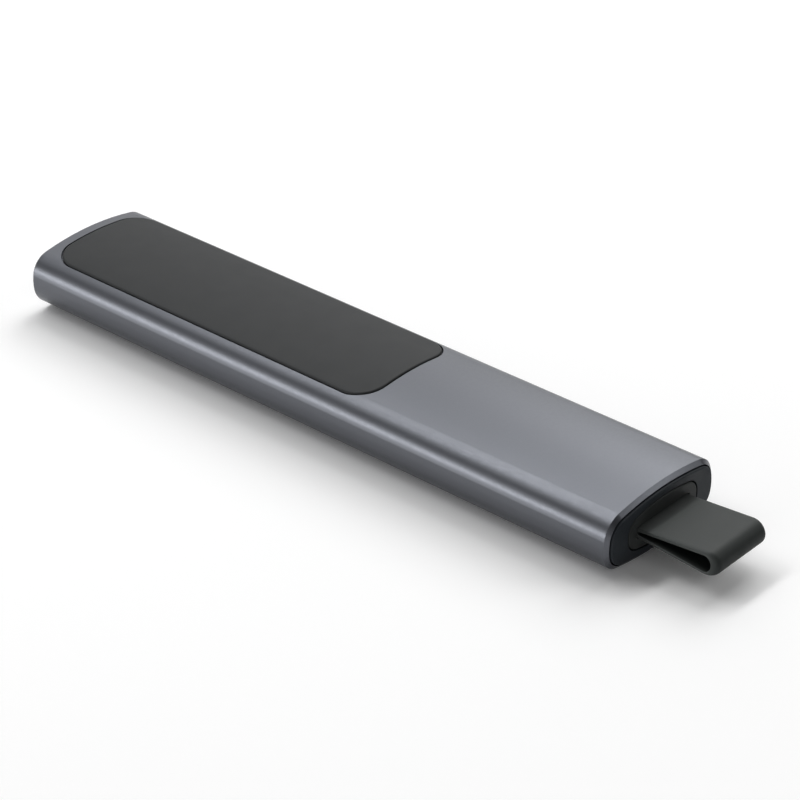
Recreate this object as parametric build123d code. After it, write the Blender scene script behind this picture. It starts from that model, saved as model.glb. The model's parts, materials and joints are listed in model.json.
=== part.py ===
from build123d import *
import os
from math import acos, atan2, cos, hypot, sin, sqrt

# Wireless presentation clicker with a USB receiver stored in its tail.
# Millimetres. +X is the width, +Y runs from the tail to the nose, and +Z points up through the back
# panel; the buttons are on the underside. Every piece is drawn from the tail end of the case (y = 0)
# and the flat land that the case rests on (z = 0). The whole is then moved along Y, so that the
# origin is the bottom centre of the object with its strap loop.

# ---- case ----
case_length = 131.3
case_width = 28.1
case_height = 12.1            # between the two crowns, before the land is cut
crown_radius = 56.0           # top and underside
side_radius = 10.0
corner_radius = 4.3
land_depth = 0.2              # taken off the lower crown, so that the case lies flat
wall = 1.2
nose_wall = 1.2
tail_chamfer_length = 0.61    # along Y
tail_chamfer_inset = 0.69     # towards the axis
nose_edge = 0.4               # radius
mouth_lip = 0.06              # flat ring between the tail chamfer and the mouth

# ---- clearances ----
seat_gap = 0.05               # pieces that slip together and stay
thread_gap = 0.02             # a screw in its hole
slide_gap = 0.15              # the receiver in its bay
receiver_seam = 0.25          # round the receiver in the tail plate
button_gap = 0.15             # a cap in its opening
shaft_gap = 0.05              # the motor's shaft in its bearing
panel_seam = 0.3
plate_seam = 0.25

# ---- back panel ----
panel_width = 22.4
panel_length = 76.35
panel_nose_margin = 2.45
panel_corner = 4.9
panel_thickness = 0.65        # below the crown
panel_proud = 0.15            # above the crown
panel_edge = 0.3              # radius
adhesive_thickness = 0.1
adhesive_margin = 1.3

# ---- tail plate ----
plate_proud = 0.4             # beyond the tail end of the case
plate_thickness = 2.0
plate_edge = 0.3              # radius
peg_diameter = 1.2
peg_length = 3.0

# ---- receiver ----
receiver_width = 17.7
receiver_height = 7.4
receiver_crown = 32.0
receiver_side = 60.0
receiver_corner = 2.8
receiver_proud = 0.45         # beyond the tail end of the case
receiver_length = 11.95
receiver_edge = 0.25          # radius
plug_width = 12.0
plug_height = 4.5
plug_length = 12.0
plug_corner = 0.5
plug_sheet = 0.3
plug_root = 5.0               # held inside the receiver's body
plug_window = 2.5
plug_window_length = 2.0
plug_window_from_tip = 5.2
plug_window_x = 2.9
tongue_thickness = 1.85
tongue_setback = 0.3          # behind the mouth of the plug
contact_width = 1.0
contact_length = 9.5
contact_thickness = 0.15
contact_pitch = 2.3
receiver_board_length = 6.2
receiver_board_thickness = 0.8
receiver_chip_size = 4.0
receiver_chip_height = 0.8

# ---- strap loop ----
strap_width = 13.2
strap_end = 15.75             # beyond the tail end of the case
strap_root_half = 0.9         # half its height where it leaves the receiver
strap_tip_radius = 2.1
strap_thickness = 0.85
strap_tip_thickness = 0.65
strap_corner = 1.0
strap_root_depth = 4.3
strap_slit_start = 0.6        # beyond the tail end of the case
strap_slit_half = 0.1
strap_recess_side = 0.2       # from each side of the strap to the recess round its root
strap_recess_gap = 0.15       # above and below the strap
strap_recess_corner = 0.4
strap_recess_depth = 0.9
strap_recess_edge = 0.15      # chamfer
pin_diameter = 1.0
pin_length = 16.0
pin_depth = 2.7

# ---- receiver bay ----
bay_wall = 0.9
bay_end_wall = 1.0
bay_tip_gap = 1.1             # between the plug's tip and the end of the bay
spring_thickness = 0.2
spring_height = 2.0
spring_length = 8.6
spring_foot = 1.2
spring_gap = 0.1              # between a spring and the plug
spring_setback = 1.0          # from the receiver's body to the spring

# ---- charging socket ----
socket_width = 8.94
socket_height = 3.26
socket_length = 7.3
socket_sheet = 0.3
socket_proud = 0.8            # how far its mouth reaches into the end wall of the bay
socket_tongue_width = 6.2
socket_tongue_thickness = 0.7
socket_tongue_setback = 0.8

# ---- main board ----
board_thickness = 0.8
board_corner = 1.0
board_end_gap = 0.2

# ---- chassis ----
rail_inner_x = 10.3
rail_above = 2.15             # above the case's mid height
rail_lip = 1.0
rail_lip_thickness = 0.8
rib_length = 4.2
rib_panel_inset = 2.25        # from each end of the panel to the middle of the rib below it

# ---- screws ----
chassis_screw_diameter = 1.6
chassis_screw_length = 5.2
chassis_head_diameter = 3.0
chassis_head_height = 0.4
head_relief = 0.2
screw_hole_gap = 0.15
board_screw_diameter = 1.4
board_screw_length = 3.4
board_head_diameter = 2.5
board_head_height = 0.6
board_screw_x = 7.5

# ---- buttons ----
pointer_from_nose = 19.0
pointer_diameter = 16.0
next_from_nose = 43.5
next_width = 16.0
next_length = 28.0
back_from_nose = 66.5
back_diameter = 13.0
button_recess = 0.35
button_travel = 0.35
flange_lip = 0.8
flange_thickness = 0.5
flange_gap = 0.05
dish_radius = 60.0
dish_depth = 0.3
mark_depth = 0.12
mark_size = 4.4
mark_stroke = 0.5
nib_diameter = 3.0
nib_height = 0.4              # above the flange
nib_stop_gap = 0.07           # left between the nib and the switch at full travel

# ---- switches ----
switch_size = 4.0
switch_height = 1.05
plunger_diameter = 2.0
plunger_gap = 0.1
dome_diameter = 3.1
dome_rise = 0.25
dome_thickness = 0.08
dome_gap = 0.1

# ---- status light ----
light_from_nose = 6.0
pipe_diameter = 1.6
pipe_flange_diameter = 2.8
pipe_flange_height = 0.4
pipe_recess = 0.1
led_width = 1.6
led_length = 0.8
led_height = 0.6

# ---- battery ----
battery_width = 18.0
battery_length = 31.0
battery_height = 4.0
battery_edge = 0.8
battery_rib_gap = 2.0
battery_pad_thickness = 0.4
battery_pad_margin = 1.5
tab_width = 3.0
tab_length = 2.0
tab_thickness = 0.2
tab_x = 4.5

# ---- radio ----
shield_width = 13.0
shield_length = 12.0
shield_height = 1.6
shield_sheet = 0.2
shield_battery_gap = 5.0
processor_size = 5.0
processor_height = 0.9
sensor_size = 3.0
sensor_height = 0.9
sensor_rib_gap = 6.6
antenna_width = 5.0
antenna_length = 1.6
antenna_height = 0.8
antenna_rib_gap = 3.2
crystal_width = 3.2
crystal_length = 2.0
crystal_height = 0.7
crystal_shield_gap = 0.4
charger_size = 3.0
charger_height = 0.9
charger_gap = 1.2             # behind the charging socket

# ---- vibration motor ----
motor_diameter = 4.0
motor_length = 8.0
motor_board_gap = 0.25
motor_edge_gap = 0.8          # from the tail end of the board to the can
shaft_diameter = 0.7
shaft_bearing = 1.0
weight_radius = 1.7
weight_hub_radius = 0.8
weight_length = 3.0
weight_can_gap = 0.5
bracket_sheet = 0.25
bracket_length = 4.0
bracket_foot = 0.6

# ---- places that follow from the sizes ----
mid_z = case_height / 2 - land_depth
inner_floor = wall - land_depth
cavity_end = case_length - nose_wall
mouth_inset = tail_chamfer_inset + mouth_lip
plate_inner_y = plate_thickness - plate_proud
pocket_depth = panel_thickness + adhesive_thickness
panel_nose_y = case_length - panel_nose_margin
panel_tail_y = panel_nose_y - panel_length
panel_mid_y = (panel_nose_y + panel_tail_y) / 2
pocket_z = mid_z + case_height / 2 - pocket_depth

receiver_end = receiver_length - receiver_proud
plug_tip = receiver_end + plug_length
plug_start = receiver_end - plug_root
bay_end = plug_tip + bay_tip_gap
bay_half_width = receiver_width / 2 + slide_gap

nib_top = inner_floor + flange_gap + flange_thickness + nib_height
switch_bottom = nib_top + button_travel + nib_stop_gap
board_bottom = switch_bottom + switch_height
board_top = board_bottom + board_thickness
board_start = bay_end + bay_end_wall + board_end_gap
board_end = cavity_end - board_end_gap
socket_start = bay_end + bay_end_wall - socket_proud
socket_end = socket_start + socket_length
socket_z = board_top + socket_height / 2

tail_rib_y = panel_tail_y + rib_panel_inset
nose_rib_y = panel_nose_y - rib_panel_inset
rib_places = (tail_rib_y, nose_rib_y)
battery_start = tail_rib_y + rib_length / 2 + battery_rib_gap
battery_end = battery_start + battery_length
battery_bottom = board_top + battery_pad_thickness
shield_start = battery_end + shield_battery_gap
shield_mid_y = shield_start + shield_length / 2
motor_start = board_start + motor_edge_gap
motor_end = motor_start + motor_length
weight_start = motor_end + weight_can_gap
weight_end = weight_start + weight_length
bracket_inside = motor_diameter / 2 + thread_gap
bracket_outside = bracket_inside + bracket_sheet
board_half_width = rail_inner_x - 2 * seat_gap
motor_x = board_half_width - bracket_foot - bracket_outside
motor_z = board_top + motor_board_gap + motor_diameter / 2

dome_apex = board_bottom - dome_rise
plunger_top = dome_apex - button_travel - seat_gap
button_places = {
    "pointer": case_length - pointer_from_nose,
    "next": case_length - next_from_nose,
    "back": case_length - back_from_nose,
}
button_sizes = {
    "pointer": (pointer_diameter, pointer_diameter),
    "next": (next_width, next_length),
    "back": (back_diameter, back_diameter),
}
light_y = case_length - light_from_nose
origin_shift = (strap_end - case_length) / 2


# ---- outlines and simple solids ----
def crown_meets_side(half_width, half_height, crown, side):
    """Upper right point where the crown's circle crosses the side's circle."""
    rise = half_height - crown
    reach = half_width - side
    gap = hypot(reach, rise)
    along = (crown ** 2 - side ** 2 + gap ** 2) / (2 * gap)
    across = sqrt(crown ** 2 - along ** 2)
    x = (along * reach - across * rise) / gap
    z = rise - (along * rise + across * reach) / gap
    return x, z


def crowned_outline(width, height, crown, side, corner, inset):
    """X-Z outline with crowned top and bottom, bulged sides and round corners."""
    half_width = width / 2 - inset
    half_height = height / 2 - inset
    x, z = crown_meets_side(half_width, half_height, crown - inset, side - inset)
    arcs = [
        ThreePointArc((-x, z), (0, half_height), (x, z)),
        ThreePointArc((x, z), (half_width, 0), (x, -z)),
        ThreePointArc((x, -z), (0, -half_height), (-x, -z)),
        ThreePointArc((-x, -z), (-half_width, 0), (-x, z)),
    ]
    outline = make_face(arcs)
    return Pos(0, mid_z) * fillet(outline.vertices(), corner - inset)


def case_outline(inset=0.0):
    return crowned_outline(case_width, case_height, crown_radius, side_radius, corner_radius, inset)


def receiver_outline(inset=0.0):
    return crowned_outline(
        receiver_width, receiver_height, receiver_crown, receiver_side, receiver_corner, inset
    )


def plug_outline(inset=0.0):
    width = plug_width - 2 * inset
    height = plug_height - 2 * inset
    return Pos(0, mid_z) * RectangleRounded(width, height, plug_corner - inset)


def socket_outline(inset=0.0):
    """A slot with round ends, as the mouth of the charging socket."""
    return Pos(0, socket_z) * SlotOverall(socket_width - 2 * inset, socket_height - 2 * inset)


def strap_outline(side_gap, gap, corner):
    """Outline round the strap's root, with gaps at its sides and above and below it."""
    height = 2 * (strap_root_half + gap)
    return Pos(0, mid_z) * RectangleRounded(strap_width + 2 * side_gap, height, corner)


def strap_recess(grow=0.0):
    return strap_outline(strap_recess_side + grow, strap_recess_gap + grow, strap_recess_corner + grow)


def at_y(outline, y):
    return Plane.XZ.offset(-y) * outline


def prism(outline, y_start, y_end):
    """Solid of an X-Z outline between two places along the case."""
    return extrude(at_y(outline, y_start), amount=y_start - y_end)


def taper(outline_a, y_a, outline_b, y_b):
    return loft([at_y(outline_a, y_a), at_y(outline_b, y_b)], ruled=True)


def round_end(solid, end, radius):
    """Round the edges of a solid's flat face at its tail (0) or at its nose (-1)."""
    return fillet(solid.faces().sort_by(Axis.Y)[end].edges(), radius)


def column(outline, z_start, z_end):
    """Solid of an X-Y outline between two heights."""
    return extrude(Pos(0, 0, z_start) * outline, amount=z_end - z_start)


def block(x_start, x_end, y_start, y_end, z_start, z_end):
    middle = Pos((x_start + x_end) / 2, (y_start + y_end) / 2, (z_start + z_end) / 2)
    return middle * Box(x_end - x_start, y_end - y_start, z_end - z_start)


def upright(x, y, diameter, z_start, z_end):
    return column(Pos(x, y) * Circle(diameter / 2), z_start, z_end)


def lengthwise(x, z, diameter, y_start, y_end):
    return prism(Pos(x, z) * Circle(diameter / 2), y_start, y_end)


def skin(outer_inset, inner_inset, outline, z_start, z_end):
    """The part of the case's skin between two depths that lies within an X-Y outline."""
    layer = prism(case_outline(outer_inset), 0, case_length)
    layer -= prism(case_outline(inner_inset), 0, case_length)
    return layer & column(outline, z_start, z_end)


# ---- case and covers ----
def case_blank():
    tail = taper(case_outline(tail_chamfer_inset), 0, case_outline(), tail_chamfer_length)
    body = round_end(prism(case_outline(), tail_chamfer_length, case_length), -1, nose_edge)
    below = block(-case_width, case_width, -1, case_length + 1, -case_height, 0)
    return tail + body - below


def panel_outline(grow):
    width = panel_width + 2 * grow
    length = panel_length + 2 * grow
    return Pos(0, panel_mid_y) * RectangleRounded(width, length, panel_corner + grow)


def button_outline(name, grow=0.0):
    width, length = button_sizes[name]
    if length > width:
        shape = SlotOverall(length + 2 * grow, width + 2 * grow, rotation=90)
    else:
        shape = Circle(width / 2 + grow)
    return Pos(0, button_places[name]) * shape


def outer_shell():
    shell = case_blank() - prism(case_outline(wall), plate_inner_y, cavity_end)
    shell -= prism(case_outline(mouth_inset), -1, plate_inner_y)
    pocket = column(panel_outline(panel_seam), mid_z, case_height)
    shell -= pocket - prism(case_outline(pocket_depth), 0, case_length)
    for name in button_places:
        shell -= column(button_outline(name, button_gap), -case_height, mid_z)
    for y in rib_places:
        hole = chassis_screw_diameter + 2 * screw_hole_gap
        shell -= upright(0, y, hole, mid_z, case_height)
    return shell - upright(0, light_y, pipe_diameter + 2 * seat_gap, -case_height, mid_z)


def screw_reliefs(top):
    reliefs = [
        upright(0, y, chassis_head_diameter + 2 * head_relief, mid_z, top) for y in rib_places
    ]
    return reliefs[0] + reliefs[1]


def back_panel():
    panel = skin(-panel_proud, panel_thickness, panel_outline(0), mid_z, case_height)
    panel = fillet(panel.faces().sort_by(Axis.Z)[-1].edges(), panel_edge)
    return panel - screw_reliefs(pocket_z + chassis_head_height + seat_gap)


def panel_adhesive():
    sheet = skin(panel_thickness, pocket_depth, panel_outline(-adhesive_margin), mid_z, case_height)
    return sheet - screw_reliefs(case_height)


def peg_x():
    return (rail_inner_x + case_width / 2 - wall - seat_gap) / 2


def tail_plate():
    plate = prism(case_outline(mouth_inset + plate_seam), -plate_proud, plate_inner_y)
    plate = round_end(plate, 0, plate_edge)
    plate -= prism(receiver_outline(-receiver_seam), -1, plate_inner_y + 1)
    for x in (-peg_x(), peg_x()):
        plate += lengthwise(x, mid_z, peg_diameter, 0, plate_inner_y + peg_length)
    return plate


# ---- chassis and screws ----
def chassis():
    rail_top = mid_z + rail_above
    rail_bottom = board_bottom - rail_lip_thickness
    rail_start = plate_inner_y + seat_gap
    rail_end = cavity_end - seat_gap
    frame = block(-rail_inner_x, rail_inner_x, tail_rib_y - rib_length / 2,
                  tail_rib_y + rib_length / 2, board_top, case_height)
    frame += block(-rail_inner_x, rail_inner_x, nose_rib_y - rib_length / 2,
                   nose_rib_y + rib_length / 2, board_top, case_height)
    for side in (-1, 1):
        near, far = sorted((side * rail_inner_x, side * case_width / 2))
        frame += block(near, far, rail_start, rail_end, rail_bottom, rail_top)
        lip_near, lip_far = sorted((side * (rail_inner_x - rail_lip), side * case_width / 2))
        frame += block(lip_near, lip_far, board_start, rail_end, rail_bottom, board_bottom)
    frame = frame & prism(case_outline(wall + seat_gap), rail_start, rail_end)
    for x in (-peg_x(), peg_x()):
        frame -= lengthwise(x, mid_z, peg_diameter + 2 * seat_gap, rail_start - 1,
                            plate_inner_y + peg_length + seat_gap)
    for y in rib_places:
        frame -= upright(0, y, chassis_screw_diameter + 2 * thread_gap,
                         pocket_z - chassis_screw_length - seat_gap, case_height)
        for x in (-board_screw_x, board_screw_x):
            frame -= upright(x, y, board_screw_diameter + 2 * thread_gap, board_bottom,
                             board_bottom + board_screw_length + seat_gap)
    return frame


def chassis_screws():
    screws = []
    for y in rib_places:
        shank = upright(0, y, chassis_screw_diameter, pocket_z - chassis_screw_length, pocket_z)
        head = upright(0, y, chassis_head_diameter, pocket_z, pocket_z + chassis_head_height)
        screws.append(shank + head)
    return Compound(screws)


def board_screws():
    screws = []
    for y in rib_places:
        for x in (-board_screw_x, board_screw_x):
            shank = upright(x, y, board_screw_diameter, board_bottom,
                            board_bottom + board_screw_length)
            head = upright(x, y, board_head_diameter, board_bottom - board_head_height,
                           board_bottom)
            screws.append(shank + head)
    return Compound(screws)


# ---- buttons and switches ----
def ring_mark():
    return Circle(mark_size / 2) - Circle(mark_size / 2 - mark_stroke)


def arrow_mark(turn):
    """A chevron that points to the nose, turned by that many degrees."""
    arm = mark_size / 2
    tip = arm / 2
    step = mark_stroke * 2 ** 0.5
    chevron = Polygon((-arm, -tip), (-arm, -tip - step), (0, tip - step), (arm, -tip - step),
                      (arm, -tip), (0, tip), align=None)
    return Rot(0, 0, turn) * chevron


def button_mark(name):
    marks = {"pointer": ring_mark(), "next": arrow_mark(0), "back": arrow_mark(180)}
    return Pos(0, button_places[name]) * marks[name]


def button_cap(name):
    y = button_places[name]
    flange_start = wall + flange_gap
    flange_end = flange_start + flange_thickness
    face_z = button_recess - land_depth
    cap = skin(button_recess, flange_end, button_outline(name), -case_height, mid_z)
    cap += skin(flange_start, flange_end, button_outline(name, flange_lip), -case_height, mid_z)
    cap += upright(0, y, nib_diameter, inner_floor + flange_gap, nib_top)
    cap -= Pos(0, y, face_z + dish_depth - dish_radius) * Sphere(dish_radius)
    return cap - column(button_mark(name), -case_height, face_z + dish_depth + mark_depth)


def button_plunger(name):
    return upright(0, button_places[name], plunger_diameter, nib_top, plunger_top)


def switch_housing(name):
    y = button_places[name]
    half = switch_size / 2
    housing = block(-half, half, y - half, y + half, switch_bottom, board_bottom)
    housing -= upright(0, y, plunger_diameter + 2 * plunger_gap, switch_bottom, board_bottom)
    well = dome_diameter + 2 * dome_gap
    return housing - upright(0, y, well, dome_apex - dome_gap, board_bottom)


def switch_dome(name):
    y = button_places[name]
    half = dome_diameter / 2
    radius = (half ** 2 + dome_rise ** 2) / (2 * dome_rise)
    centre = Pos(0, y, dome_apex + radius)
    cap = centre * Sphere(radius) - centre * Sphere(radius - dome_thickness)
    return cap & upright(0, y, dome_diameter, dome_apex, board_bottom)


# ---- main board and what it carries ----
def on_board(x, y, width, length, height):
    """A chip on the upper face of the board, centred on x and y."""
    return block(x - width / 2, x + width / 2, y - length / 2, y + length / 2,
                 board_top, board_top + height)


def main_board():
    plan = RectangleRounded(2 * board_half_width, board_end - board_start, board_corner)
    board = column(Pos(0, (board_start + board_end) / 2) * plan, board_bottom, board_top)
    for y in rib_places:
        for x in (-board_screw_x, board_screw_x):
            board -= upright(x, y, board_screw_diameter + 2 * screw_hole_gap,
                             board_bottom, board_top)
    return board


def usb_socket_shell():
    shell = prism(socket_outline(), socket_start, socket_end)
    return shell - prism(socket_outline(socket_sheet), socket_start, socket_end - socket_sheet)


def usb_socket_tongue():
    half = socket_tongue_width / 2
    thin = socket_tongue_thickness / 2
    return block(-half, half, socket_start + socket_tongue_setback, socket_end - socket_sheet,
                 socket_z - thin, socket_z + thin)


def radio_shield():
    can = on_board(0, shield_mid_y, shield_width, shield_length, shield_height)
    can = fillet(can.edges().filter_by(Axis.Z), shield_sheet * 2)
    hollow = on_board(0, shield_mid_y, shield_width - 2 * shield_sheet,
                      shield_length - 2 * shield_sheet, shield_height - shield_sheet)
    return can - hollow


def processor_chip():
    return on_board(0, shield_mid_y, processor_size, processor_size, processor_height)


def quartz_crystal():
    y = shield_start - crystal_shield_gap - crystal_length / 2
    return on_board(0, y, crystal_width, crystal_length, crystal_height)


def motion_sensor():
    y = nose_rib_y - rib_length / 2 - sensor_rib_gap - sensor_size / 2
    return on_board(0, y, sensor_size, sensor_size, sensor_height)


def chip_antenna():
    y = nose_rib_y - rib_length / 2 - antenna_rib_gap - antenna_length / 2
    return on_board(0, y, antenna_width, antenna_length, antenna_height)


def charger_chip():
    y = socket_end + charger_gap + charger_size / 2
    return on_board(0, y, charger_size, charger_size, charger_height)


def battery_cell():
    half = battery_width / 2
    cell = block(-half, half, battery_start, battery_end, battery_bottom,
                 battery_bottom + battery_height)
    return fillet(cell.edges(), battery_edge)


def battery_pad():
    half = battery_width / 2 - battery_pad_margin
    return block(-half, half, battery_start + battery_pad_margin,
                 battery_end - battery_pad_margin, board_top, battery_bottom)


def battery_tabs():
    """Two nickel strips from the end of the cell down to the board."""
    level = battery_bottom + battery_height / 2
    tabs = []
    for x in (-tab_x, tab_x):
        near = x - tab_width / 2
        far = x + tab_width / 2
        flat = block(near, far, battery_end, battery_end + tab_length, level, level + tab_thickness)
        drop = block(near, far, battery_end + tab_length - tab_thickness,
                     battery_end + tab_length, board_top, level)
        tabs.append(flat + drop)
    return Compound(tabs)


def status_led():
    return block(-led_width / 2, led_width / 2, light_y - led_length / 2, light_y + led_length / 2,
                 board_bottom - led_height, board_bottom)


def light_pipe():
    flange_bottom = inner_floor + seat_gap
    pipe = upright(0, light_y, pipe_diameter, pipe_recess, board_bottom - led_height - seat_gap)
    return pipe + upright(0, light_y, pipe_flange_diameter, flange_bottom,
                          flange_bottom + pipe_flange_height)


# ---- vibration motor ----
def motor_lengthwise(diameter, y_start, y_end):
    """Round bar on the motor's axis."""
    return lengthwise(motor_x, motor_z, diameter, y_start, y_end)


def motor_can():
    bearing = motor_lengthwise(shaft_diameter + 2 * shaft_gap, motor_end - shaft_bearing, motor_end)
    return motor_lengthwise(motor_diameter, motor_start, motor_end) - bearing


def motor_shaft():
    return motor_lengthwise(shaft_diameter, motor_end - shaft_bearing + shaft_gap, weight_end)


def motor_weight():
    """Half disc that hangs below the shaft, on a round hub."""
    disc = motor_lengthwise(2 * weight_radius, weight_start, weight_end)
    disc -= block(motor_x - weight_radius, motor_x + weight_radius, weight_start, weight_end,
                  motor_z, motor_z + weight_radius)
    disc += motor_lengthwise(2 * weight_hub_radius, weight_start, weight_end)
    return disc - motor_lengthwise(shaft_diameter, weight_start, weight_end)


def saddle_outline(radius):
    return Circle(radius) + Pos(0, -radius) * Rectangle(2 * radius, 2 * radius)


def motor_bracket():
    """Sheet saddle over the can, with a foot on the board at each side."""
    middle = (motor_start + motor_end) / 2
    start = middle - bracket_length / 2
    end = middle + bracket_length / 2
    saddle = Pos(motor_x, motor_z) * (saddle_outline(bracket_outside) - saddle_outline(bracket_inside))
    bracket = prism(saddle, start, end)
    bracket &= block(0, case_width, start, end, board_top, case_height)
    reach = bracket_outside + bracket_foot
    for near, far in ((bracket_inside, reach), (-reach, -bracket_inside)):
        bracket += block(motor_x + near, motor_x + far, start, end,
                         board_top, board_top + bracket_sheet)
    return bracket


# ---- receiver bay ----
def receiver_bay():
    wall_end = bay_end + bay_end_wall
    sleeve = prism(receiver_outline(-slide_gap - bay_wall), plate_inner_y, wall_end)
    sleeve = sleeve & prism(case_outline(wall + seat_gap), plate_inner_y, wall_end)
    sleeve -= prism(receiver_outline(-slide_gap), plate_inner_y, bay_end)
    return sleeve - prism(socket_outline(-seat_gap), bay_end, wall_end)


def leaf_spring():
    """Bowed strip on the +X wall of the bay, with a flat foot at each end."""
    foot_x = bay_half_width - seat_gap
    bow_x = plug_width / 2 + spring_gap
    start = receiver_end + spring_setback + spring_foot
    end = start + spring_length
    middle = (start + end) / 2
    sheet = spring_thickness
    bow = ThreePointArc((foot_x, start), (bow_x, middle), (foot_x, end))
    back = ThreePointArc((foot_x, end - sheet), (bow_x + sheet, middle), (foot_x, start + sheet))
    leaf = make_face([bow, Line(bow @ 1, back @ 0), back, Line(back @ 1, bow @ 0)])
    outline = leaf
    for y in (start - spring_foot / 2, end + spring_foot / 2):
        foot = Rectangle(sheet, spring_foot + 2 * sheet)
        outline += Pos(foot_x - sheet / 2, y) * foot
    low = mid_z - spring_height / 2
    inside = prism(receiver_outline(seat_gap - slide_gap), receiver_end, bay_end)
    return column(outline, low, low + spring_height) & inside


def bay_springs():
    leaf = leaf_spring()
    return Compound([leaf, mirror(leaf, Plane.YZ)])


# ---- receiver ----
def strap_cross_pin(grow):
    outline = Pos(pin_depth, mid_z) * Circle(pin_diameter / 2 + grow)
    return extrude(Plane.YZ * outline, amount=pin_length / 2, both=True)


def receiver_body():
    face = -receiver_proud
    body = round_end(prism(receiver_outline(), face, receiver_end), 0, receiver_edge)
    body -= taper(strap_recess(strap_recess_edge), face, strap_recess(), face + strap_recess_edge)
    body -= prism(strap_recess(), face, face + strap_recess_depth)
    socket = strap_outline(seat_gap, seat_gap, seat_gap)
    body -= prism(socket, face, strap_root_depth + seat_gap)
    body -= prism(plug_outline(-seat_gap), plug_start - seat_gap, receiver_end)
    return body - strap_cross_pin(thread_gap)


def plug_shell():
    shell = prism(plug_outline(), plug_start, plug_tip)
    shell -= prism(plug_outline(plug_sheet), plug_start + plug_sheet, plug_tip)
    window_end = plug_tip - plug_window_from_tip
    for x in (-plug_window_x, plug_window_x):
        shell -= block(x - plug_window / 2, x + plug_window / 2,
                       window_end - plug_window_length, window_end, mid_z, case_height)
    return shell


def tongue_half_width():
    return plug_width / 2 - plug_sheet - plug_corner / 2


def tongue_top():
    return mid_z - plug_height / 2 + plug_sheet + tongue_thickness


def plug_tongue():
    half = tongue_half_width()
    start = plug_start + plug_sheet
    bottom = mid_z - plug_height / 2 + plug_sheet
    tongue = block(-half, half, start, plug_tip - tongue_setback, bottom, tongue_top())
    return tongue - block(-half, half, start, start + receiver_board_length + seat_gap,
                          tongue_top() - receiver_board_thickness, tongue_top())


def receiver_board():
    half = tongue_half_width() - seat_gap
    start = plug_start + plug_sheet
    return block(-half, half, start, start + receiver_board_length,
                 tongue_top() - receiver_board_thickness, tongue_top())


def receiver_chip():
    half = receiver_chip_size / 2
    start = plug_start + 2 * plug_sheet
    return block(-half, half, start, start + receiver_chip_size, tongue_top(),
                 tongue_top() + receiver_chip_height)


def plug_contacts():
    strips = []
    end = plug_tip - 2 * tongue_setback
    for place in (-1.5, -0.5, 0.5, 1.5):
        x = place * contact_pitch
        strips.append(block(x - contact_width / 2, x + contact_width / 2, end - contact_length,
                            end, tongue_top(), tongue_top() + contact_thickness))
    return Compound(strips)


def teardrop(root_y, root_half, centre_y, radius):
    """Y-Z outline that widens from a root to a round end."""
    reach = root_y - centre_y
    angle = atan2(root_half, reach) + acos(radius / hypot(reach, root_half))
    touch_y = centre_y + radius * cos(angle)
    touch_z = radius * sin(angle)
    wedge = Polygon((root_y, -root_half), (root_y, root_half), (touch_y, touch_z),
                    (touch_y, -touch_z), align=None)
    return wedge + Pos(centre_y, 0) * Circle(radius)


def strap_loop():
    outer_centre = strap_tip_radius - strap_end
    slit_radius = strap_tip_radius - strap_thickness
    slit_centre = strap_tip_thickness - strap_end + slit_radius
    outline = teardrop(-strap_slit_start, strap_root_half, outer_centre, strap_tip_radius)
    root_length = strap_root_depth + strap_slit_start
    root_middle = (strap_root_depth - strap_slit_start) / 2
    outline += Pos(root_middle, 0) * Rectangle(root_length, 2 * strap_root_half)
    outline -= teardrop(-strap_slit_start, strap_slit_half, slit_centre, slit_radius)
    band = extrude(Plane.YZ * (Pos(0, mid_z) * outline), amount=strap_width / 2, both=True)
    plan = RectangleRounded(strap_width, strap_end + strap_root_depth, strap_corner)
    plan_middle = (strap_root_depth - strap_end) / 2
    band = band & column(Pos(0, plan_middle) * plan, 0, case_height)
    return band - strap_cross_pin(seat_gap)


# ---- all pieces ----
def all_pieces():
    pieces = {
        "outer_shell": outer_shell(),
        "back_panel": back_panel(),
        "panel_adhesive": panel_adhesive(),
        "tail_plate": tail_plate(),
        "chassis": chassis(),
        "chassis_screws": chassis_screws(),
        "board_screws": board_screws(),
        "main_board": main_board(),
        "usb_socket_shell": usb_socket_shell(),
        "usb_socket_tongue": usb_socket_tongue(),
        "radio_shield": radio_shield(),
        "processor_chip": processor_chip(),
        "quartz_crystal": quartz_crystal(),
        "motion_sensor": motion_sensor(),
        "chip_antenna": chip_antenna(),
        "charger_chip": charger_chip(),
        "battery_cell": battery_cell(),
        "battery_pad": battery_pad(),
        "battery_tabs": battery_tabs(),
        "status_led": status_led(),
        "light_pipe": light_pipe(),
        "motor_can": motor_can(),
        "motor_bracket": motor_bracket(),
        "motor_shaft": motor_shaft(),
        "motor_weight": motor_weight(),
        "receiver_bay": receiver_bay(),
        "bay_springs": bay_springs(),
        "receiver_body": receiver_body(),
        "plug_shell": plug_shell(),
        "plug_tongue": plug_tongue(),
        "plug_contacts": plug_contacts(),
        "receiver_board": receiver_board(),
        "receiver_chip": receiver_chip(),
        "strap_loop": strap_loop(),
        "strap_pin": strap_cross_pin(0),
    }
    for name in button_places:
        pieces[name + "_cap"] = button_cap(name)
        pieces[name + "_plunger"] = button_plunger(name)
        pieces[name + "_switch"] = switch_housing(name)
        pieces[name + "_dome"] = switch_dome(name)
    return pieces


os.makedirs("parts", exist_ok=True)
for node, shape in all_pieces().items():
    export_step(Pos(0, origin_shift, 0) * shape, "parts/" + node + ".step")
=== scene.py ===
import json
import math

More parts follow.
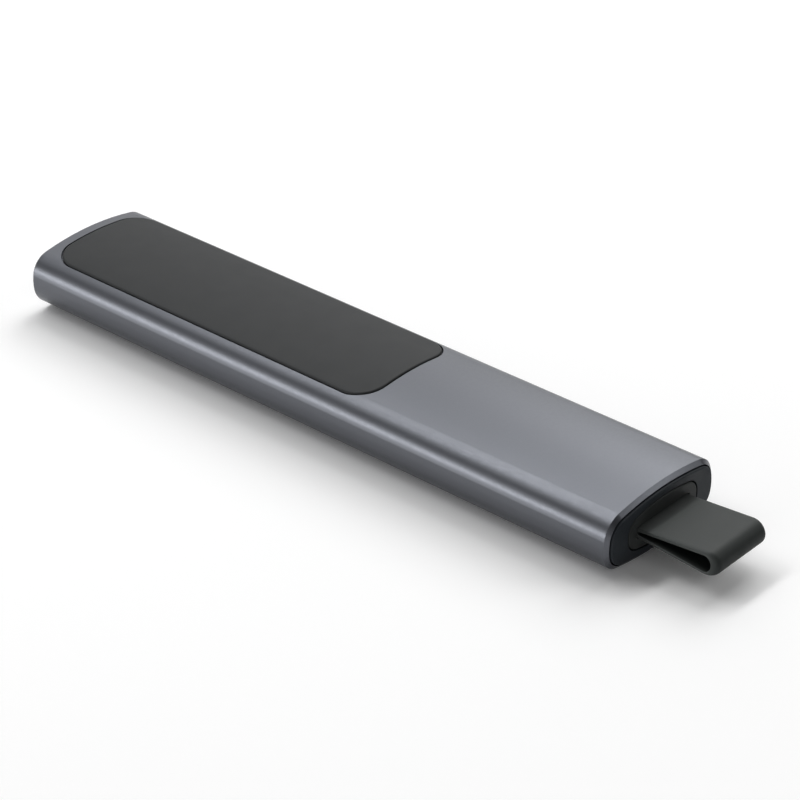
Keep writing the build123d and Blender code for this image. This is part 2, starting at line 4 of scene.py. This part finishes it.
import bmesh
import bpy
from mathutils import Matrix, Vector


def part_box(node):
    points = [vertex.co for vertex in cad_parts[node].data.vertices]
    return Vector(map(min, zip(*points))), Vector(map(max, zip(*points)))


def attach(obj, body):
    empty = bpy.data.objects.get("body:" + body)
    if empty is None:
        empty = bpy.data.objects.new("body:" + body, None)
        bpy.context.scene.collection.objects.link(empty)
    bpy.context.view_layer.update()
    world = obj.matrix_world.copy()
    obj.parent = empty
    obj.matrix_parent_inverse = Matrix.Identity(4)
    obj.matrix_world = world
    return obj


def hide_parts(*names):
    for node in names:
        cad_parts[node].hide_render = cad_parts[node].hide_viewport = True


# Looks of the wireless presentation clicker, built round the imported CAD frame. Metres.
# It lies on its buttons with the tail towards -Y. Every CAD solid keeps its shape and gets a procedural
# finish. Only the rubbery pull loop is a mesh of its own.

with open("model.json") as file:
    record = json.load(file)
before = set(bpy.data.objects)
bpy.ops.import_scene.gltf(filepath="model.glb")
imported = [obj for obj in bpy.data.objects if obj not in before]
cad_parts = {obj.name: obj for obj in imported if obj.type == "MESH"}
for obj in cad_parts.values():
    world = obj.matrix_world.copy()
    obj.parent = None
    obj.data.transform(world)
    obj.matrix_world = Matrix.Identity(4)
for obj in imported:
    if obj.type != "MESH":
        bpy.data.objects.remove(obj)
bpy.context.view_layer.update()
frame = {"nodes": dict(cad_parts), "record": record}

MM = 0.001

# ---- camera, as solved from the outline of the case ----
CAMERA_AZIMUTH = -48.504      # degrees, 0 looks along +Y
CAMERA_ELEVATION = 30.933
CAMERA_DISTANCE = 462.96 * MM
CAMERA_RIGHT = 8.157 * MM     # the camera stands this far beside the line to the middle of the case
CAMERA_UP = -4.357 * MM       # and this far above it
CAMERA_LENS = 121.95          # mm
SENSOR_WIDTH = 36.0           # mm
CLIP_START = 10 * MM
CLIP_END = 20.0

# ---- stage ----
FLOOR_HALF = 3.0
FLOOR_TONE = 0.93
FLOOR_SEEN_TONE = 1.05        # so that the background is white where the lamps fall off
WORLD_LEVEL = 0.07
LAMP_DISTANCE = 1.5           # of every lamp from the middle of the case

# ---- pull loop ----
LOOP_ROOT_HALF = 0.9 * MM     # half its height where it leaves the receiver
LOOP_THICKNESS = 0.85 * MM
LOOP_TIP_THICKNESS = 0.65 * MM
LOOP_SLIT_START = 0.6 * MM    # beyond the tail end of the case
LOOP_SLIT_HALF = 0.1 * MM
LOOP_CORNER = 1.0 * MM        # of its outline from above
LOOP_EDGE_REACH = 0.8 * MM    # the outer edges are rounded over this much of the width
LOOP_EDGE_DEPTH = 0.35 * MM   # and by this much of the height
LOOP_ROOT_EDGE = 0.08 * MM    # the same at the root, where the edges are crisp
LOOP_SLIT_EDGE = 0.2 * MM     # and at the edges of the slit
PAINTED_TIP_SHADE_REACH = 2.2 * MM      # from the tip, over which the rubber is darkened with painted shade
ROOT_STEPS = 6                # of its mesh, along each stretch
ARM_STEPS = 24
TIP_STEPS = 32
CAP_STEPS = 4
EDGE_STEPS = 8
WIDTH_STEPS = 40

# ---- places read from the frame ----
CASE_HALF_HEIGHT = 6.05 * MM  # from the top of the case down to the middle of its section
shell_low, shell_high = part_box("outer_shell")
loop_low, loop_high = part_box("strap_loop")
case_centre = Vector((0, (shell_low.y + shell_high.y) / 2, shell_high.z - CASE_HALF_HEIGHT))
slit_y = shell_low.y - LOOP_SLIT_START
loop_tip_radius = (loop_high.z - loop_low.z) / 2


# ---- numbers and meshes ----
def direction(azimuth, elevation):
    """Unit vector from the object to a viewer or lamp."""
    a, e = math.radians(azimuth), math.radians(elevation)
    return Vector((math.sin(a) * math.cos(e), -math.cos(a) * math.cos(e), math.sin(e)))


def aim(obj, back):
    """Turn an object so that its -Z looks away from a direction."""
    obj.rotation_mode = "QUATERNION"
    obj.rotation_quaternion = (-back).to_track_quat("-Z", "Y")


def tone(red, green, blue):
    """Linear colour of an sRGB colour from 0 to 255."""
    channels = []
    for value in (red / 255, green / 255, blue / 255):
        if value <= 0.04045:
            channels.append(value / 12.92)
        else:
            channels.append(((value + 0.055) / 1.055) ** 2.4)
    return (*channels, 1.0)


def grey(level):
    """Linear grey of that level."""
    return (level, level, level, 1.0)


def mesh_object(name, mesh_data):
    mesh = bpy.data.meshes.new(name)
    mesh_data.to_mesh(mesh)
    mesh_data.free()
    obj = bpy.data.objects.new(name, mesh)
    bpy.context.scene.collection.objects.link(obj)
    return obj


# ---- shader building ----
def add_node(tree, kind, **inputs):
    """A new shader node with those input values. An underscore stands for a space in an input's name."""
    node = tree.nodes.new("ShaderNode" + kind)
    for name, value in inputs.items():
        node.inputs[name.replace("_", " ")].default_value = value
    return node


def mix_colours(tree, factor, first, second):
    """Colour that goes from first to second with the factor. Each is a colour or a node's output."""
    node = add_node(tree, "Mix")
    node.data_type = "RGBA"
    tree.links.new(factor, node.inputs["Factor"])
    ends = [socket for socket in node.inputs if socket.type == "RGBA"]
    for socket, colour in zip(ends, (first, second)):
        if isinstance(colour, tuple):
            socket.default_value = colour
        else:
            tree.links.new(colour, socket)
    return next(socket for socket in node.outputs if socket.type == "RGBA")


def blank_material(name):
    """(material, its node tree, its surface socket) with nothing else in it."""
    material = bpy.data.materials.new(name)
    material.use_nodes = True
    material.node_tree.nodes.clear()
    output = add_node(material.node_tree, "OutputMaterial")
    return material, material.node_tree, output.inputs["Surface"]


class Surface:
    """A Principled material with those shader values, and short calls to add nodes to it."""

    def __init__(self, name, **values):
        self.name = name
        self.material, self.tree, surface = blank_material(name)
        self.shader = add_node(self.tree, "BsdfPrincipled", **values)
        self.tree.links.new(self.shader.outputs["BSDF"], surface)
        self.coordinates = add_node(self.tree, "TexCoord").outputs["Object"]

    def noise(self, size, detail=2.0, stretch=(1, 1, 1)):
        """Noise whose features are about that many metres across, divided by the stretch."""
        mapping = add_node(self.tree, "Mapping", Scale=stretch)
        node = add_node(self.tree, "TexNoise", Scale=1 / size, Detail=detail)
        self.tree.links.new(self.coordinates, mapping.inputs["Vector"])
        self.tree.links.new(mapping.outputs["Vector"], node.inputs["Vector"])
        return node.outputs["Fac"]

    def cells(self, size):
        """Distance to the nearest of many scattered points, for pits and grains."""
        node = add_node(self.tree, "TexVoronoi", Scale=1 / size)
        self.tree.links.new(self.coordinates, node.inputs["Vector"])
        return node.outputs["Distance"]

    def spread(self, factor, low=0.0, high=1.0, start=0.3, end=0.7):
        """Map a factor between start and end to values from low to high."""
        node = add_node(self.tree, "MapRange", From_Min=start, From_Max=end, To_Min=low, To_Max=high)
        self.tree.links.new(factor, node.inputs["Value"])
        return node.outputs["Result"]

    def place(self, axis, start, end):
        """0 at the start to 1 at the end along one axis of the object."""
        node = add_node(self.tree, "SeparateXYZ")
        self.tree.links.new(self.coordinates, node.inputs[0])
        return self.spread(node.outputs[axis], start=start, end=end)

    def blend(self, factor, first, second):
        return mix_colours(self.tree, factor, first, second)

    def colour(self, output):
        self.tree.links.new(output, self.shader.inputs["Base Color"])

    def roughness(self, factor, low, high):
        self.tree.links.new(self.spread(factor, low, high), self.shader.inputs["Roughness"])

    def relief(self, height, depth):
        """Bumps of that many metres."""
        node = add_node(self.tree, "Bump", Distance=depth)
        self.tree.links.new(height, node.inputs["Height"])
        self.tree.links.new(node.outputs["Normal"], self.shader.inputs["Normal"])


# ---- finishes ----
def aluminium(name):
    """Bead-blasted and dyed anodised aluminium, a little uneven in tint and sheen."""
    surface = Surface(name, Metallic=1.0, Specular_IOR_Level=0.5)
    cloud = surface.noise(9 * MM, detail=3.0, stretch=(1, 0.4, 1))
    blast = surface.noise(0.09 * MM)
    tint = surface.blend(surface.spread(cloud), tone(91, 93, 98), tone(94, 96, 101))
    surface.colour(surface.blend(surface.spread(blast), tint, tone(97, 99, 104)))
    surface.roughness(surface.noise(0.5 * MM), 0.34, 0.40)
    surface.relief(blast, 0.002 * MM)
    return surface


def soft_touch(name):
    """Rubbery lacquer: deep grey, matt, with a very fine tooth."""
    surface = Surface(name, Specular_IOR_Level=0.3, Sheen_Weight=0.12, Sheen_Roughness=0.25)
    mottle = surface.noise(4 * MM, detail=4.0)
    tooth = surface.noise(0.07 * MM)
    tint = surface.blend(surface.spread(mottle), tone(34, 36, 37), tone(36, 38, 39))
    surface.colour(surface.blend(surface.spread(tooth, high=0.5), tint, tone(42, 44, 45)))
    surface.roughness(mottle, 0.6, 0.64)
    surface.relief(tooth, 0.006 * MM)
    return surface


def moulded(name, dark, light, roughness, grain, depth, **shader):
    """Moulded plastic with a spark-eroded grain of that size and depth."""
    surface = Surface(name, **shader)
    tooth = surface.cells(grain)
    drift = surface.noise(40 * grain, detail=3.0)
    tint = surface.blend(surface.spread(tooth), dark, light)
    surface.colour(surface.blend(surface.spread(drift, high=0.4), tint, dark))
    surface.roughness(drift, roughness - 0.05, roughness + 0.05)
    surface.relief(tooth, depth)
    return surface


def rubber(name, dark, light, tooth_light, painted_tip_shade):
    """Satin moulded rubber with a faint bloom, and painted shade that darkens it towards the tip of the
    loop.
    """
    surface = Surface(name, Specular_IOR_Level=0.15)
    bloom = surface.noise(2.5 * MM, detail=4.0)
    tooth = surface.noise(0.06 * MM)
    tint = surface.blend(surface.spread(bloom), dark, light)
    tint = surface.blend(surface.spread(tooth, high=0.4), tint, tooth_light)
    # painted shade: the colour turns to the last, darker tone towards the tip of the loop
    tip_shade_mask = surface.place("Y", loop_low.y + PAINTED_TIP_SHADE_REACH, loop_low.y)
    surface.colour(surface.blend(tip_shade_mask, tint, painted_tip_shade))
    surface.roughness(bloom, 0.5, 0.6)
    surface.relief(tooth, 0.005 * MM)
    return surface


def drawn_metal(name, colour, worn, roughness, drawn_along, depth):
    """Bright metal with fine lines drawn along one axis."""
    surface = Surface(name, Metallic=1.0)
    stretch = [0.04 if axis == drawn_along else 1.0 for axis in "XYZ"]
    lines = surface.noise(0.08 * MM, detail=3.0, stretch=stretch)
    haze = surface.noise(1.5 * MM, detail=3.0)
    surface.colour(surface.blend(surface.spread(haze), colour, worn))
    surface.roughness(lines, roughness - 0.06, roughness + 0.08)
    surface.relief(lines, depth)
    return surface


def circuit_board(name):
    """Green solder mask over tracks that run along the board."""
    surface = Surface(name, Specular_IOR_Level=0.5, Coat_Weight=0.3, Coat_Roughness=0.2)
    tracks = add_node(surface.tree, "TexBrick", Scale=1 / (4 * MM), Mortar_Size=0.06,
                      Mortar_Smooth=0.1, Color1=tone(20, 66, 44), Color2=tone(16, 58, 40),
                      Mortar=tone(36, 92, 60))
    surface.tree.links.new(surface.coordinates, tracks.inputs["Vector"])
    haze = surface.noise(1.2 * MM, detail=3.0)
    surface.colour(surface.blend(surface.spread(haze, high=0.35), tracks.outputs["Color"],
                                 tone(12, 48, 34)))
    surface.roughness(haze, 0.32, 0.45)
    surface.relief(tracks.outputs["Fac"], -0.02 * MM)
    return surface


def pouch_foil(name):
    """Laminated pouch of the cell, slightly crinkled."""
    surface = Surface(name, Metallic=0.85)
    crinkle = surface.noise(2.2 * MM, detail=5.0)
    surface.colour(surface.blend(surface.spread(crinkle), tone(176, 178, 180), tone(198, 200, 202)))
    surface.roughness(surface.noise(0.3 * MM), 0.28, 0.42)
    surface.relief(crinkle, 0.08 * MM)
    return surface


def foam(name, dark, light, pore):
    """Open-celled foam or adhesive film."""
    surface = Surface(name, Specular_IOR_Level=0.2)
    pores = surface.cells(pore)
    surface.colour(surface.blend(surface.spread(pores, start=0.1, end=0.6), dark, light))
    surface.roughness(pores, 0.75, 0.95)
    surface.relief(pores, pore / 4)
    return surface


def clear_plastic(name):
    """Frosted clear moulding of the light pipe."""
    surface = Surface(name, Transmission_Weight=0.85, IOR=1.49)
    frost = surface.noise(0.12 * MM)
    surface.colour(surface.blend(surface.spread(frost), tone(214, 220, 220), tone(232, 236, 236)))
    surface.roughness(frost, 0.22, 0.34)
    surface.relief(frost, 0.004 * MM)
    return surface


def make_materials():
    """Every finish by the record's name for it, which Blender may number in the material itself."""
    surfaces = [
        aluminium("case_aluminium"),
        soft_touch("soft_touch"),
        # the last tone of each rubber is the painted shade towards the loop's tip
        rubber("strap_rubber", tone(59, 62, 61), tone(64, 67, 66), tone(73, 76, 75), tone(34, 38, 37)),
        # painted shade: a darker copy of the loop's rubber for the inside of its slit
        rubber("painted_shade_slit_rubber", tone(22, 25, 24), tone(28, 31, 30), tone(34, 37, 36), tone(20, 23, 22)),
        moulded("tail_plastic", tone(38, 42, 46), tone(45, 49, 53), 0.5, 0.1 * MM, 0.004 * MM,
                Specular_IOR_Level=0.12),
        moulded("receiver_plastic", tone(45, 47, 47), tone(53, 55, 54), 0.52, 0.1 * MM, 0.004 * MM,
                Specular_IOR_Level=0.12),
        moulded("frame_plastic", tone(28, 28, 30), tone(36, 36, 38), 0.55, 0.16 * MM, 0.006 * MM),
        moulded("button_plastic", tone(50, 52, 53), tone(58, 60, 61), 0.58, 0.09 * MM, 0.004 * MM),
        moulded("plunger_plastic", tone(214, 213, 206), tone(226, 225, 219), 0.35, 0.2 * MM, 0.003 * MM),
        moulded("switch_plastic", tone(24, 24, 25), tone(32, 32, 33), 0.4, 0.2 * MM, 0.004 * MM),
        moulded("chip_black", tone(22, 22, 24), tone(34, 34, 36), 0.6, 0.06 * MM, 0.004 * MM),
        moulded("tongue_plastic", tone(30, 30, 32), tone(40, 40, 42), 0.45, 0.15 * MM, 0.004 * MM),
        moulded("led_body", tone(222, 220, 200), tone(238, 236, 222), 0.3, 0.2 * MM, 0.002 * MM),
        moulded("antenna_ceramic", tone(206, 204, 194), tone(224, 222, 214), 0.4, 0.07 * MM, 0.003 * MM),
        drawn_metal("screw_steel", tone(112, 112, 116), tone(84, 84, 88), 0.34, "Z", 0.002 * MM),
        drawn_metal("plug_steel", tone(206, 207, 209), tone(186, 187, 190), 0.24, "Y", 0.0015 * MM),
        drawn_metal("shield_metal", tone(198, 198, 198), tone(176, 176, 178), 0.32, "X", 0.002 * MM),
        drawn_metal("motor_steel", tone(196, 198, 200), tone(170, 172, 176), 0.28, "Y", 0.0015 * MM),
        drawn_metal("weight_metal", tone(128, 128, 132), tone(104, 104, 108), 0.42, "Y", 0.003 * MM),
        drawn_metal("nickel_strip", tone(212, 208, 198), tone(190, 186, 176), 0.22, "Y", 0.001 * MM),
        drawn_metal("contact_gold", tone(236, 198, 120), tone(214, 170, 92), 0.24, "Y", 0.001 * MM),
        circuit_board("board_laminate"),
        pouch_foil("cell_foil"),
        foam("foam_pad", tone(30, 30, 30), tone(52, 52, 52), 0.12 * MM),
        foam("adhesive", tone(22, 22, 22), tone(34, 34, 34), 0.2 * MM),
        clear_plastic("clear_pipe"),
    ]
    return {surface.name: surface.material for surface in surfaces}


# ---- the pull loop ----
def along(first, last, steps):
    """Points from first to last, without the last."""
    return [first.lerp(last, step / steps) for step in range(steps)]


def closed_line(root, half, centre, radius, cap):
    """Closed Y-Z line: the root's upper points, an arm to the round tip, back below, and the cap."""
    reach = slit_y - centre
    # The arm is the tangent from the root to the tip, which it touches at this angle from +Y.
    angle = math.atan2(half, reach) + math.acos(radius / math.hypot(reach, half))
    touch = Vector((centre + radius * math.cos(angle), radius * math.sin(angle)))
    top = root + along(Vector((slit_y, half)), touch, ARM_STEPS)
    tip = []
    for step in range(TIP_STEPS + 1):
        turn = angle + (2 * math.pi - 2 * angle) * step / TIP_STEPS
        tip.append(Vector((centre + radius * math.cos(turn), radius * math.sin(turn))))
    bottom = [Vector((p.x, -p.y)) for p in reversed(top)]
    return top + tip + bottom + cap


def outer_line(tip_y, rounding):
    """The loop's outside, from the inner end of its root round the tip."""
    half = LOOP_ROOT_HALF - rounding * LOOP_ROOT_EDGE
    root = along(Vector((loop_high.y, half)), Vector((slit_y, half)), ROOT_STEPS)
    cap = along(Vector((loop_high.y, -half)), Vector((loop_high.y, half)), CAP_STEPS)[1:]
    radius = loop_tip_radius - rounding * LOOP_EDGE_DEPTH
    return closed_line(root, half, tip_y + loop_tip_radius, radius, cap)


def slit_line(tip_y, rounding):
    """The slit, with as many points as the outside. Its root is a half circle."""
    half = LOOP_SLIT_HALF + rounding * LOOP_SLIT_EDGE
    circle = []
    count = 2 * ROOT_STEPS + CAP_STEPS
    for step in range(count + 1):
        turn = -math.pi / 2 + math.pi * step / count
        circle.append(Vector((slit_y + half * math.cos(turn), half * math.sin(turn))))
    root = circle[ROOT_STEPS + CAP_STEPS:-1]
    cap = circle[ROOT_STEPS + 1:ROOT_STEPS + CAP_STEPS]
    inner_radius = loop_tip_radius - LOOP_THICKNESS
    centre = tip_y + LOOP_TIP_THICKNESS + inner_radius
    return closed_line(root, half, centre, inner_radius + rounding * LOOP_SLIT_EDGE, cap)


def columns(half_width):
    """(x, rounding) of each section from side to side. The rounding is 1 at a side and 0 on the flat."""
    side = []
    for step in range(EDGE_STEPS + 1):
        angle = math.pi / 2 * (EDGE_STEPS - step) / EDGE_STEPS
        side.append((-half_width + LOOP_EDGE_REACH * (1 - math.sin(angle)), 1 - math.cos(angle)))
    flank = half_width - LOOP_EDGE_REACH
    flat = [(-flank + 2 * flank * step / WIDTH_STEPS, 0.0) for step in range(1, WIDTH_STEPS)]
    return side + flat + [(-x, rounding) for x, rounding in reversed(side)]


def loop_mesh():
    """One closed mesh: the band's outside, the slit's inside, and rounded edges that join them."""
    half_width = (loop_high.x - loop_low.x) / 2
    middle_z = (loop_high.z + loop_low.z) / 2
    mesh = bmesh.new()
    rings = []
    for x, rounding in columns(half_width):
        past = max(0.0, abs(x) - (half_width - LOOP_CORNER))
        tip_y = loop_low.y + LOOP_CORNER - math.sqrt(max(0.0, LOOP_CORNER ** 2 - past ** 2))
        lines = (outer_line(tip_y, rounding), slit_line(tip_y, rounding))
        rings.append([[mesh.verts.new((x, p.x, middle_z + p.y)) for p in line] for line in lines])
    count = len(rings[0][0])
    for left, right in zip(rings, rings[1:]):
        for i in range(count):
            j = (i + 1) % count
            mesh.faces.new((left[0][i], left[0][j], right[0][j], right[0][i]))
            inside = mesh.faces.new((left[1][j], left[1][i], right[1][i], right[1][j]))
            # the slit's faces take the second material, the darker rubber of painted shade
            inside.material_index = 1
    for outside, slit in (rings[0], rings[-1]):
        for i in range(count):
            j = (i + 1) % count
            mesh.faces.new((outside[i], slit[i], slit[j], outside[j]))
    bmesh.ops.recalc_face_normals(mesh, faces=mesh.faces)
    for face in mesh.faces:
        face.smooth = True
    return mesh


def pull_loop(outside, inside):
    loop = mesh_object("pull_loop", loop_mesh())
    loop.data.materials.append(outside)
    # the second material is the darker rubber, painted shade inside the slit
    loop.data.materials.append(inside)
    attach(loop, "receiver")
    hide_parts("strap_loop")


# ---- stage, lamps and camera ----
def seen_ray(tree):
    """1 for the rays that show the floor to the camera, straight on, in gloss or through glass."""
    path = add_node(tree, "LightPath")
    seen = path.outputs["Is Camera Ray"]
    for kind in ("Is Glossy Ray", "Is Transmission Ray"):
        either = add_node(tree, "Math")
        either.operation = "MAXIMUM"
        tree.links.new(seen, either.inputs[0])
        tree.links.new(path.outputs[kind], either.inputs[1])
        seen = either.outputs[0]
    return seen


def make_floor():
    """White floor, clear from below, so that it doesn't hide the object there."""
    mesh = bmesh.new()
    corners = [(-1, -1), (1, -1), (1, 1), (-1, 1)]
    mesh.faces.new([mesh.verts.new((x * FLOOR_HALF, y * FLOOR_HALF, 0)) for x, y in corners])
    floor = mesh_object("floor", mesh)
    material, tree, surface = blank_material("white_floor")
    paper = add_node(tree, "BsdfDiffuse")
    clear = add_node(tree, "BsdfTransparent")
    side = add_node(tree, "NewGeometry")
    mix = add_node(tree, "MixShader")
    white = mix_colours(tree, seen_ray(tree), grey(FLOOR_TONE), grey(FLOOR_SEEN_TONE))
    tree.links.new(white, paper.inputs["Color"])
    tree.links.new(side.outputs["Backfacing"], mix.inputs[0])
    tree.links.new(paper.outputs[0], mix.inputs[1])
    tree.links.new(clear.outputs[0], mix.inputs[2])
    tree.links.new(mix.outputs[0], surface)
    floor.data.materials.append(material)


def softbox(name, azimuth, elevation, width, height, radiance):
    """A rectangular lamp that faces the case, as bright as a surface of that radiance."""
    light = bpy.data.lights.new(name, "AREA")
    light.shape = "RECTANGLE"
    light.size = width
    light.size_y = height
    light.energy = radiance * math.pi * width * height
    lamp = bpy.data.objects.new(name, light)
    back = direction(azimuth, elevation)
    lamp.location = case_centre + back * LAMP_DISTANCE
    aim(lamp, back)
    bpy.context.scene.collection.objects.link(lamp)


def make_lamps():
    """The metal mirrors the lamps, so each one's size and place shape a part of its sheen.

    Angles are in degrees, sizes in metres, and the highlights are those of the near side.
    """
    softbox("back_panel_light", 137, 26.6, width=1.64, height=1.2, radiance=1.07)    # the flat top
    softbox("top_light", 175, 60.4, width=1.15, height=0.2, radiance=10.2)           # upper highlight
    softbox("near_top_light", 219, 51.6, width=0.56, height=0.65, radiance=1.86)     # its lower flank
    softbox("near_fill_light", 230, 24, width=1.4, height=0.5, radiance=0.4)         # the groove below it
    softbox("key_light", 104, 46.8, width=0.88, height=1.27, radiance=3.2)           # panel, loop and floor
    softbox("tail_light", 50, 30, width=0.63, height=0.5, radiance=3.3)              # the tail's chamfer
    softbox("camera_side_light", 312, 29, width=1.6, height=1.1, radiance=0.5)       # the top, from behind
    softbox("horizon_light", 235.5, 4.4, width=1.38, height=0.25, radiance=9.6)      # lower highlight


def make_world():
    world = bpy.data.worlds.new("studio")
    world.use_nodes = True
    background = world.node_tree.nodes["Background"]
    background.inputs["Color"].default_value = grey(1.0)
    background.inputs["Strength"].default_value = WORLD_LEVEL
    bpy.context.scene.world = world


def make_camera():
    camera = bpy.data.cameras.new("camera")
    camera.lens = CAMERA_LENS
    camera.sensor_width = SENSOR_WIDTH
    camera.clip_start = CLIP_START
    camera.clip_end = CLIP_END
    holder = bpy.data.objects.new("camera", camera)
    back = direction(CAMERA_AZIMUTH, CAMERA_ELEVATION)
    azimuth = math.radians(CAMERA_AZIMUTH)
    right = Vector((math.cos(azimuth), math.sin(azimuth), 0))
    up = back.cross(right)
    holder.location = case_centre + back * CAMERA_DISTANCE + right * CAMERA_RIGHT + up * CAMERA_UP
    aim(holder, back)
    bpy.context.scene.collection.objects.link(holder)
    bpy.context.scene.camera = holder


# ---- the scene ----
make_camera()
make_floor()
make_world()
make_lamps()

materials = make_materials()
for part in frame["record"]["subparts"]:
    node = frame["nodes"][part["node"]]
    node.data.materials.clear()
    node.data.materials.append(materials[part["material_slot"]])
pull_loop(materials["strap_rubber"], materials["painted_shade_slit_rubber"])

bpy.context.scene.view_settings.view_transform = "Standard"
